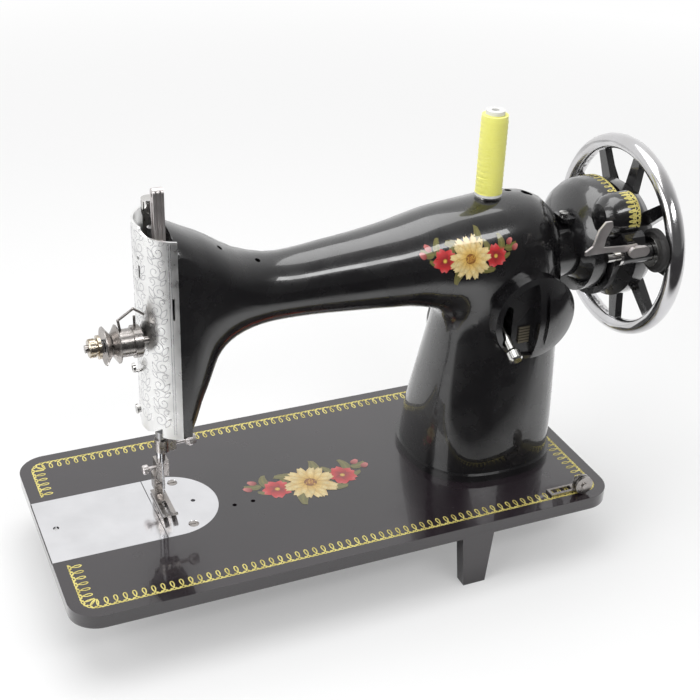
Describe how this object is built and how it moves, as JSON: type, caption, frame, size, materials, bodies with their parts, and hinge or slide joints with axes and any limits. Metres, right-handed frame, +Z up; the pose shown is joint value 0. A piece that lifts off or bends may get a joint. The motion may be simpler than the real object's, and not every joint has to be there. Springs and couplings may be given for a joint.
{
  "type": "sewing machine",
  "caption": "Flat-bed lockstitch sewing machine with cast arm, hand wheel, bobbin winder, thread spool, presser foot and shuttle mechanism.",
  "frame": {"origin": "centre of the bounding box at the level the feet stand on", "axes": "+X from the needle end to the hand wheel, +Y from the operator to the back, +Z up"},
  "size_m": [0.4264, 0.178, 0.2958],
  "materials": {
    "black_enamel": "high-gloss black enamel",
    "nickel": "polished nickel plate",
    "chrome_rim": "chromed rim, black web and spokes",
    "steel": "bright machined steel",
    "dull_steel": "oiled machined steel",
    "bronze": "bronze",
    "brass": "brass with traces of nickel plate",
    "raw_iron": "dark machined casting",
    "thread": "lime-yellow wound thread",
    "tire_rubber": "moulded black rubber",
    "scale_metal": "printed metal scale"
  },
  "bodies": {
    "frame": {"bed": "black_enamel", "arm": "black_enamel", "front_bush": "bronze", "rear_bush": "bronze", "face_plate": "nickel", "face_plate_screw": "nickel", "needle_plate": "nickel", "plate_screws": "nickel", "tension_stud": "nickel", "tension_discs": "nickel", "tension_spring": "dull_steel", "thread_guides": "nickel", "spool_pin": "nickel", "stitch_scale": "scale_metal", "back_cover": "black_enamel", "cover_screws": "nickel", "belt_guard": "black_enamel", "rear_guard_screw": "nickel", "winder_guide": "nickel", "race_body": "raw_iron", "race_ring": "nickel", "presser_spring": "dull_steel"},
    "main_shaft": {"arm_shaft": "steel", "needle_crank": "dull_steel", "pitman_eccentric": "dull_steel", "feed_cam": "dull_steel", "hand_wheel": "chrome_rim", "stop_washer": "nickel"},
    "clamp_screw": {"clamp_screw": "nickel"},
    "needle_bar_link": {"needle_bar_link": "dull_steel"},
    "pitman": {"pitman": "dull_steel"},
    "needle_bar": {"needle_bar": "steel", "needle_clamp": "nickel", "needle": "nickel"},
    "needle_clamp_screw": {"needle_clamp_screw": "nickel"},
    "take_up_lever": {"take_up_lever": "dull_steel"},
    "presser_lifter": {"presser_lifter": "steel"},
    "presser_bar": {"presser_bar": "steel", "presser_shank": "nickel"},
    "presser_foot": {"presser_foot": "nickel"},
    "presser_foot_screw": {"presser_foot_screw": "nickel"},
    "regulating_screw": {"regulating_screw": "nickel"},
    "tension_nut": {"tension_nut": "brass"},
    "check_spring": {"check_spring": "nickel"},
    "thread_spool": {"thread_spool": "thread"},
    "stitch_lever": {"stitch_lever": "nickel"},
    "feed_fork": {"feed_fork": "dull_steel"},
    "slide_plate": {"slide_plate": "nickel"},
    "rock_shaft": {"rock_shaft": "steel"},
    "shuttle": {"shuttle_shaft": "steel", "shuttle_hook": "nickel"},
    "bobbin_case": {"bobbin_case": "nickel"},
    "bobbin": {"bobbin": "nickel"},
    "feed_rock_shaft": {"feed_rock_shaft": "steel"},
    "feed_bar": {"feed_bar": "dull_steel"},
    "feed_lift_shaft": {"feed_lift_shaft": "steel"},
    "winder_arm": {"winder_arm": "black_enamel"},
    "winder_spindle": {"winder_spindle": "nickel", "winder_tire": "tire_rubber"},
    "winder_latch": {"winder_latch": "nickel"}
  },
  "joints": [
    {"name": "main_shaft_turn", "type": "hinge", "parent": "frame", "child": "main_shaft", "pos_m": [-0.01325, 0.0025, 0.195], "axis": [1, 0, 0], "continuous": true},
    {"name": "clamp_screw_turn", "type": "hinge", "parent": "main_shaft", "child": "clamp_screw", "pos_m": [0.20675, 0.0025, 0.195], "axis": [1, 0, 0], "range_deg": [0, 90]},
    {"name": "needle_link_turn", "type": "hinge", "parent": "main_shaft", "child": "needle_bar_link", "pos_m": [-0.12325, 0.0025, 0.21], "axis": [1, 0, 0], "continuous": true},
    {"name": "pitman_turn", "type": "hinge", "parent": "main_shaft", "child": "pitman", "pos_m": [0.08675, 0.0085, 0.195], "axis": [1, 0, 0], "continuous": true},
    {"name": "needle_bar_slide", "type": "slide", "parent": "frame", "child": "needle_bar", "axis": [0, 0, 1], "range_m": [-0.03, 0]},
    {"name": "needle_clamp_screw_turn", "type": "hinge", "parent": "needle_bar", "child": "needle_clamp_screw", "pos_m": [-0.12325, 0.0025, 0.0965], "axis": [1, 0, 0], "range_deg": [0, 360]},
    {"name": "take_up_slide", "type": "slide", "parent": "frame", "child": "take_up_lever", "axis": [0, 0, 1], "range_m": [-0.038, 0]},
    {"name": "presser_lifter_turn", "type": "hinge", "parent": "frame", "child": "presser_lifter", "pos_m": [-0.12125, 0.0225, 0.172], "axis": [0, 1, 0], "range_deg": [0, 45]},
    {"name": "presser_bar_slide", "type": "slide", "parent": "frame", "child": "presser_bar", "axis": [0, 0, 1], "range_m": [0, 0.0072], "deforming": ["presser_spring"]},
    {"name": "presser_foot_tilt", "type": "hinge", "parent": "presser_bar", "child": "presser_foot", "pos_m": [-0.13225, 0.016, 0.057], "axis": [1, 0, 0], "range_deg": [-8, 0]},
    {"name": "presser_foot_screw_turn", "type": "hinge", "parent": "presser_bar", "child": "presser_foot_screw", "pos_m": [-0.13925, 0.016, 0.0705], "axis": [1, 0, 0], "range_deg": [0, 360]},
    {"name": "regulating_screw_turn", "type": "hinge", "parent": "frame", "child": "regulating_screw", "pos_m": [-0.12975, 0.016, 0.248], "axis": [0, 0, 1], "range_deg": [-180, 180]},
    {"name": "tension_nut_turn", "type": "hinge", "parent": "frame", "child": "tension_nut", "pos_m": [-0.17125, -0.009, 0.181], "axis": [1, 0, 0], "range_deg": [-180, 180]},
    {"name": "check_spring_swing", "type": "hinge", "parent": "frame", "child": "check_spring", "pos_m": [-0.14925, -0.009, 0.181], "axis": [1, 0, 0], "range_deg": [0, 40], "stiffness_Nm_per_rad": 0.004},
    {"name": "thread_spool_turn", "type": "hinge", "parent": "frame", "child": "thread_spool", "pos_m": [0.09075, 0.0025, 0.268], "axis": [0, 0, 1], "continuous": true},
    {"name": "stitch_lever_turn", "type": "hinge", "parent": "frame", "child": "stitch_lever", "pos_m": [0.09125, -0.0195, 0.163], "axis": [1, 0, 0], "range_deg": [-50, 0]},
    {"name": "feed_fork_swing", "type": "hinge", "parent": "frame", "child": "feed_fork", "pos_m": [0.11175, -0.0195, 0.163], "axis": [1, 0, 0], "range_deg": [-2, 2]},
    {"name": "slide_plate_slide", "type": "slide", "parent": "frame", "child": "slide_plate", "axis": [-1, 0, 0], "range_m": [0, 0.053]},
    {"name": "rock_shaft_turn", "type": "hinge", "parent": "frame", "child": "rock_shaft", "pos_m": [-0.01325, 0.0265, 0.021], "axis": [1, 0, 0], "range_deg": [-33, 33]},
    {"name": "shuttle_turn", "type": "hinge", "parent": "frame", "child": "shuttle", "pos_m": [-0.11325, 0.0025, 0.021], "axis": [1, 0, 0], "range_deg": [-100, 100]},
    {"name": "bobbin_case_slide", "type": "slide", "parent": "frame", "child": "bobbin_case", "axis": [-1, 0, 0], "range_m": [0, 0.03]},
    {"name": "bobbin_turn", "type": "hinge", "parent": "bobbin_case", "child": "bobbin", "pos_m": [-0.14525, 0.0025, 0.021], "axis": [1, 0, 0], "continuous": true},
    {"name": "feed_rock_turn", "type": "hinge", "parent": "frame", "child": "feed_rock_shaft", "pos_m": [-0.01325, -0.0425, 0.026], "axis": [1, 0, 0], "range_deg": [-4, 4]},
    {"name": "feed_bar_level", "type": "hinge", "parent": "feed_rock_shaft", "child": "feed_bar", "pos_m": [-0.13225, -0.0355, 0.0396], "axis": [1, 0, 0], "range_deg": [-4, 4]},
    {"name": "feed_lift_turn", "type": "hinge", "parent": "frame", "child": "feed_lift_shaft", "pos_m": [-0.01325, 0.0475, 0.026], "axis": [1, 0, 0], "range_deg": [0, 4]},
    {"name": "winder_arm_swing", "type": "hinge", "parent": "frame", "child": "winder_arm", "pos_m": [0.17175, -0.0345, 0.229], "axis": [1, 0, 0], "range_deg": [-12, 0]},
    {"name": "winder_spindle_turn", "type": "hinge", "parent": "winder_arm", "child": "winder_spindle", "pos_m": [0.17175, -0.0515, 0.208], "axis": [1, 0, 0], "continuous": true},
    {"name": "winder_latch_turn", "type": "hinge", "parent": "winder_arm", "child": "winder_latch", "pos_m": [0.16375, -0.0575, 0.2165], "axis": [0, 1, 0], "range_deg": [-8, 8]}
  ],
  "couplings": [
    {"joint": "needle_link_turn", "follows": "main_shaft_turn", "ratio": -1},
    {"joint": "pitman_turn", "follows": "main_shaft_turn", "ratio": -1},
    {"joint": "presser_bar_slide", "follows": "presser_lifter_turn", "m_per_rad": 0.009},
    {"joint": "shuttle_turn", "follows": "rock_shaft_turn", "ratio": -3},
    {"joint": "feed_bar_level", "follows": "feed_rock_turn", "ratio": -1}
  ]
}
